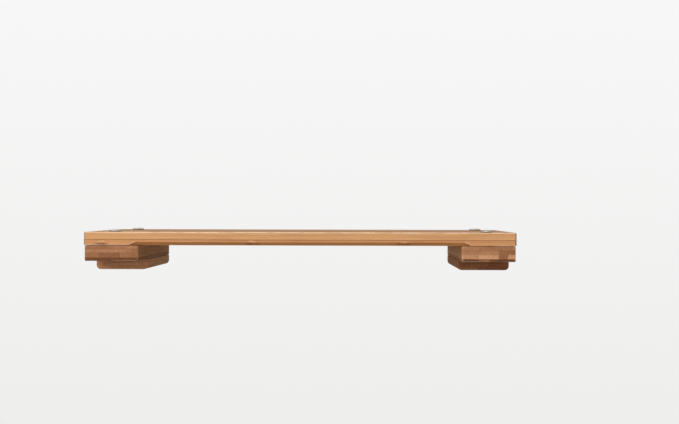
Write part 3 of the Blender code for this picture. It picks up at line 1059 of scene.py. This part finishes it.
    def set_colour(self, worn_and_lit, oil):
        shade = self.tone + (self.streaks - 0.5) * 0.50 + self.wander[Z] * 0.30
        long_colour = self.ramp(shade, list(zip(TONE_STOPS, LONG_GRAIN)))
        end_colour = self.ramp(shade, list(zip(TONE_STOPS, END_GRAIN)))
        colour = self.mix(self.cut_end, long_colour, end_colour)
        colour = self.mix(self.warmth * 0.18, colour, WARM_STRIP, "SOFT_LIGHT")
        stains = (
            (self.fine.rising(0.46, 0.66) * 0.22, DARK_FIBRE),
            (self.bundle * (0.24 + self.cut_end * 0.22), BUNDLE),
            (self.band * 0.26, KNUCKLE_TINT),
            (self.pale * 0.34, KNUCKLE_PALE),
            (self.lump * (0.30 + 0.25 * self.clear), KNUCKLE_PALE),
            ((self.line * 0.6).greater(self.smear * 0.95), KNUCKLE_LINE),
            # Glue lines, and painted shade along a block's top edge under the board
            (self.glue_and_shade * 0.85, GLUE_AND_SHADE),
            (self.cut_end * oil.soak, SOAKED_END),
            # Paler edges: worn, and with a painted highlight on the rounded arrises
            (worn_and_lit, WORN_AND_LIT_EDGE),
        )
        for share, stain in stains:
            colour = self.mix(share, colour, stain)
        self.vary("Base Color", colour)

    def set_sheen(self, worn_and_lit, oil):
        rough = oil.roughness + (self.fine - 0.5) * 0.20 + self.cut_end * 0.12
        self.vary("Roughness", rough + worn_and_lit * 0.12 + self.bundle * 0.08)
        self.fix("Coat Weight", oil.coat)
        self.fix("Coat Roughness", COAT_ROUGHNESS)
        self.fix("Specular IOR Level", oil.specular)
        raised = self.fine * 0.5 + self.streaks * 0.4 + self.band * 0.4 + self.lump * 1.2
        pores = self.bundle * (0.35 + self.cut_end * 0.9)
        self.bump(raised - pores - self.glue_and_shade * 0.9 - self.line * 0.6, GRAIN_RELIEF, 0.7)


# The strip that shows on the board's front edge, layer by layer: its tone, warmth and knuckle phase.
# Only the lowest shows knuckles there, 50 mm left and 112 mm right of the middle
BOARD_FRONT_STRIPS = ((0.56, 0.975, 0.809), (0.70, 0.30, 0.0), (0.74, 0.20, 0.0))
BOARD_LAYERS = ((0.410, 1.0), (0.76, 0.30), (1.0, 0.0))
BOARD_STRIPS = 14

# The lip of a run-out, which gets a painted highlight: how it fades away from the chamfer bit's path,
# over what distance it starts past the straight run, and how deep it goes behind the board's front and
# fades out there
LIP_FADE = (0.0004, 0.0011)
LIP_START = 0.0015
LIP_DEPTH = 0.0003
LIP_DEPTH_FADE = 0.0001


def run_out_lip(finish, spot):
    """Nearness to the edge that the chamfer bit left on the board's front as it lifted off, where a
    painted highlight lies.
    """
    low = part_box("shelf_board")[0]
    beyond = (abs(spot[X]) - chamfer_run()).greater(0)
    from_bit = finish.distance(finish.vector(beyond, CHAMFER_BEARING_RADIUS, 0), (0, 0, 0))
    bit_radius = CHAMFER_BEARING_RADIUS + CHAMFER_HEIGHT + low.z - spot[Z]
    near = (from_bit - bit_radius).falling(*LIP_FADE) * beyond.rising(0, LIP_START)
    return near * (low.y + LIP_DEPTH - spot[Y]).rising(0, LIP_DEPTH_FADE)


def board_finish():
    """Wide strips of much the same tone, staggered from layer to layer."""
    luck = random.Random(11)
    layers = []
    for (end, joint), front in zip(BOARD_LAYERS, BOARD_FRONT_STRIPS):
        shift = luck.uniform(-0.35, 0.35)
        row = [((1 + shift) / BOARD_STRIPS, *front)]
        for strip in range(1, BOARD_STRIPS):
            strip_end = min(1.0, (strip + 1 + shift) / BOARD_STRIPS)
            row.append((strip_end, luck.uniform(0.50, 0.84), luck.random(), luck.uniform(0.03, 1)))
        layers.append((end, joint, row))
    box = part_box("shelf_board")
    return Bamboo("board_bamboo", box, X, layers, BOARD_OIL, run_out_lip).material


# Strips of the brackets, from the bottom layer up, as Bamboo takes them
DARK_ROW = ((0.04, 0.42, 0.4, 0.1), (0.315, 0.10, 0.3, 0.7), (0.505, 0.40, 0.3, 0.3), (1, 0.08, 0.5, 0.5))
PALE_ROW = ((0.31, 0.84, 0.2, 0.4), (0.68, 0.95, 0.1, 0.8), (0.855, 0.53, 0.6, 0.2), (1, 0.90, 0.2, 0.6))
# The dark joint on each block's top layer lies along its top edge, under the board: painted shade
BLOCK_LAYERS = {
    "right": (
        (0.171, 0.5, DARK_ROW),
        (0.462, 0.3, PALE_ROW),
        (0.715, 0.3, ((0.34, 0.68, 0.3, 0.9), (0.70, 0.71, 0.2, 0.3), (1, 0.54, 0.4, 0.6))),
        (1.0, 0.8, ((0.30, 0.69, 0.3, 0.2), (0.72, 0.60, 0.4, 0.7), (1, 0.66, 0.3, 0.4))),
    ),
    "left": (
        (0.22, 0.5, ((0.36, 0.17, 0.6, 0.3), (0.72, 0.21, 0.7, 0.8), (1, 0.18, 0.6, 0.5))),
        (0.54, 0.3, ((0.26, 0.58, 0.6, 0.6), (0.66, 0.50, 0.7, 0.1), (1, 0.58, 0.5, 0.4))),
        (0.78, 0.3, ((0.44, 0.69, 0.4, 0.7), (0.86, 0.70, 0.3, 0.2), (1, 0.62, 0.4, 0.9))),
        (1.0, 1.0, ((0.20, 0.63, 0.4, 0.5), (0.56, 0.60, 0.3, 0.9), (1, 0.66, 0.3, 0.3))),
    ),
}
# The right arm's strips have far darker tones than the left arm's: painted shade, for the right arm lying
# in the shadow of its block
ARM_LAYERS = {
    "right": (
        (0.35, 0.3, ((0.42, 0.48, 0.4, 0.2), (0.80, 0.40, 0.5, 0.7), (1, 0.30, 0.4, 0.4))),
        (0.70, 0.3, ((0.24, 0.38, 0.3, 0.9), (0.60, 0.48, 0.4, 0.3), (1, 0.36, 0.5, 0.6))),
        (1.0, 0.0, ((0.50, 0.40, 0.5, 0.5), (0.84, 0.34, 0.4, 0.1), (1, 0.40, 0.3, 0.8))),
    ),
    "left": (
        (0.38, 0.3, ((0.30, 0.80, 0.4, 0.6), (0.66, 0.74, 0.3, 0.2), (1, 0.74, 0.5, 0.8))),
        (0.72, 0.3, ((0.46, 0.76, 0.5, 0.4), (0.82, 0.82, 0.4, 0.9), (1, 0.74, 0.3, 0.1))),
        (1.0, 0.0, ((0.22, 0.74, 0.3, 0.3), (0.58, 0.70, 0.4, 0.7), (1, 0.76, 0.5, 0.5))),
    ),
}


def bracket_finish(part, side, layers, oil):
    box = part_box(f"{side}_bracket_{part}")
    return Bamboo(f"{side}_{part}_bamboo", box, Y, layers[side], oil).material


# Metals

Metal = namedtuple("Metal", "colour stain dull roughness scratches")
METALS = {
    "bolt_nickel": Metal(srgb(232, 224, 210), srgb(160, 148, 130), 0.16, 0.46, 0.08),
    "insert_brass": Metal(srgb(204, 166, 92), srgb(132, 98, 48), 0.40, 0.32, 0.16),
    "screw_zinc": Metal(srgb(190, 192, 194), srgb(122, 122, 120), 0.45, 0.36, 0.18),
    "washer_steel": Metal(srgb(176, 178, 180), srgb(112, 112, 112), 0.40, 0.38, 0.22),
}
METAL_RELIEF = 0.000012

# How often each pattern comes again in a metre: along X, Y and Z, or outwards and upwards
CLOUD_RATES = (420, 420, 420)
GRAIN_RATES = (5200, 5200, 5200)
DRAWN_RATES = (900, 5200, 2600)
TURNED_RATES = (5200, 1500)

# Painted shade under a bolt's head, a dark band round its rim just above its seat: it is ragged, thick up
# to the first height and gone at the second
UNDERHEAD_SHADE = srgb(46, 38, 30)
UNDERHEAD_SHADE_RAGGED = 0.0005
UNDERHEAD_SHADE_HEIGHTS = (0.0005, 0.0013)


def scratches_on(finish, spot, turned_round):
    """Fine lines that run round the nearest of some axes, or straight where there are none."""
    x, y, z = spot
    if turned_round:
        flat_spot = finish.vector(x, y, 0)
        radii = [finish.distance(flat_spot, (axis.x, axis.y, 0)) for axis in turned_round]
        return finish.noise(reduce(Value.lesser, radii), 0, z, TURNED_RATES, 2)
    return finish.noise(x, y, z, DRAWN_RATES, 2)


def plating(name, metal, turned_round=(), seat=None):
    """A plated metal: fine scratches, cloudy plating and stain. turned_round are the axes of turned
    heads, and seat is the height that they sit on, just above which their rims get a painted shade."""
    finish = Finish(name, 1.0)
    spot = finish.place()
    cloud = finish.noise(*spot, CLOUD_RATES, 4)
    grain = finish.noise(*spot, GRAIN_RATES, 2)
    lines = scratches_on(finish, spot, turned_round)
    base = finish.mix(cloud.rising(0.35, 0.72) * metal.dull, metal.colour, metal.stain)
    base = finish.mix(lines.rising(0.60, 0.78) * 0.25, base, metal.stain)
    if seat is not None:
        # Painted shade: the rim of a bolt's head darkens just above where it sits on the board
        underhead_shade = (spot[Z] - seat + (cloud - 0.5) * UNDERHEAD_SHADE_RAGGED).falling(*UNDERHEAD_SHADE_HEIGHTS)
        base = finish.mix(underhead_shade * 0.88, base, UNDERHEAD_SHADE)
    finish.vary("Base Color", base)
    rough = metal.roughness + (cloud - 0.5) * 0.14
    finish.vary("Roughness", rough + lines.rising(0.58, 0.75) * metal.scratches)
    finish.bump(lines * metal.scratches + grain * 0.4, METAL_RELIEF, 0.6)
    return finish.material


def metal_finishes():
    bolts = [foot_of(f"{side}_{row}_board_bolt") for side in SIDES for row in ROWS]
    heads = {"bolt_nickel": (bolts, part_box("shelf_board")[1].z)}
    return {name: plating(name, metal, *heads.get(name, ())) for name, metal in METALS.items()}


# Studio

ROOM_LOW = (-7.0, -7.0, -2.8)
ROOM_HIGH = (7.0, 5.0, 7.0)
ROOM_COVE = 1.8
ROOM_COVE_ROWS = 16
ROOM_COLOURS = ((0.0, srgb(228, 227, 225)), (0.20, srgb(238, 238, 237)), (0.40, srgb(248, 248, 248)))
SKY_COLOURS = ((0.0, srgb(123, 114, 104)), (0.5, srgb(166, 161, 155)), (1.0, srgb(208, 207, 206)))
SKY_STRENGTH = 1.0

# Softboxes, each with its place, width and height, power and colour, and what they face
SOFTBOXES = {
    "key_softbox": (Vector((-1.5, -1.9, 1.8)), (1.6, 1.6), 32, (1.0, 0.985, 0.96)),
    "front_fill": (Vector((-0.3, -2.7, 0.15)), (3.2, 1.0), 35, (1.0, 0.98, 0.96)),
}
SHELF_MIDDLE = Vector((0, -0.14, 0))


def make_stage():
    """A pale floor that sweeps up into pale walls. It is only seen: it lights and shades nothing."""
    bm = bmesh.new()
    add_box(bm, ROOM_LOW, ROOM_HIGH)
    round_edges(bm, bm.edges[:], ROOM_COVE, ROOM_COVE_ROWS)
    bmesh.ops.reverse_faces(bm, faces=bm.faces[:])
    room = take_shape("studio_floor", bm)
    room.data.shade_smooth()
    paper = Finish("studio_paper", 0.0)
    height = (paper.place()[Z] - ROOM_LOW[Z]) / (ROOM_HIGH[Z] - ROOM_LOW[Z])
    paper.vary("Emission Color", paper.ramp(height, ROOM_COLOURS))
    paper.fix("Emission Strength", 1.0)
    paper.fix("Base Color", (0, 0, 0, 1))
    paper.fix("Specular IOR Level", 0.0)
    room.data.materials.append(paper.material)
    room.visible_diffuse = room.visible_glossy = room.visible_shadow = False


def light_studio():
    """Soft light from the upper front left, over a room that is brighter above than below."""
    for name, (place, size, power, colour) in SOFTBOXES.items():
        light = bpy.data.lights.new(name, "AREA")
        light.shape = "RECTANGLE"
        light.size, light.size_y = size
        light.energy = power
        light.color = colour
        lamp = add_object(name, light)
        lamp.location = place
        lamp.rotation_mode = "QUATERNION"
        lamp.rotation_quaternion = (SHELF_MIDDLE - place).to_track_quat("-Z", "Y")
        lamp.visible_camera = False
    world = bpy.data.worlds.new("soft_room")
    world.use_nodes = True
    room = Nodes(world.node_tree)
    direction = room.node("ShaderNodeTexCoord").outputs["Generated"]
    height = room.split(direction, "ShaderNodeSeparateXYZ", "Vector")[Z] * 0.5 + 0.5
    background = world.node_tree.nodes["Background"]
    room.feed(background.inputs["Color"], room.ramp(height, SKY_COLOURS))
    background.inputs["Strength"].default_value = SKY_STRENGTH
    bpy.context.scene.world = world
    bpy.context.scene.view_settings.view_transform = "Standard"


# The camera stands 2 m from the wall, 21 mm above the board's top
CAMERA_PLACE = (0.0634, -1.9835, 0.02785)
CAMERA_YAW = math.radians(0.707)
CAMERA_PITCH = math.radians(0.036)
CAMERA_ROLL = math.radians(0.139)
CAMERA_LENS = 84.5
CAMERA_SENSOR = 36.0
CAMERA_SEES_TO = 50.0


def make_camera():
    """A camera that is tilted up by its pitch, turned left by its yaw, and rolled on its own axis."""
    camera = bpy.data.cameras.new("photo_camera")
    camera.lens = CAMERA_LENS
    camera.sensor_width = CAMERA_SENSOR
    camera.clip_end = CAMERA_SEES_TO
    yaw = Matrix.Rotation(CAMERA_YAW, 4, "Z")
    pitch = Matrix.Rotation(math.pi / 2 + CAMERA_PITCH, 4, "X")
    roll = Matrix.Rotation(CAMERA_ROLL, 4, "Z")
    viewer = add_object("photo_camera", camera)
    viewer.matrix_world = Matrix.Translation(CAMERA_PLACE) @ yaw @ pitch @ roll
    bpy.context.scene.camera = viewer


def main():
    make_camera()
    make_stage()
    light_studio()
    make_board(board_finish())
    metals = metal_finishes()
    for side in SIDES:
        make_block(side, bracket_finish("block", side, BLOCK_LAYERS, BLOCK_OIL))
        make_arm(side, bracket_finish("arm", side, ARM_LAYERS, ARM_OIL))
        make_fasteners(side, metals)


main()
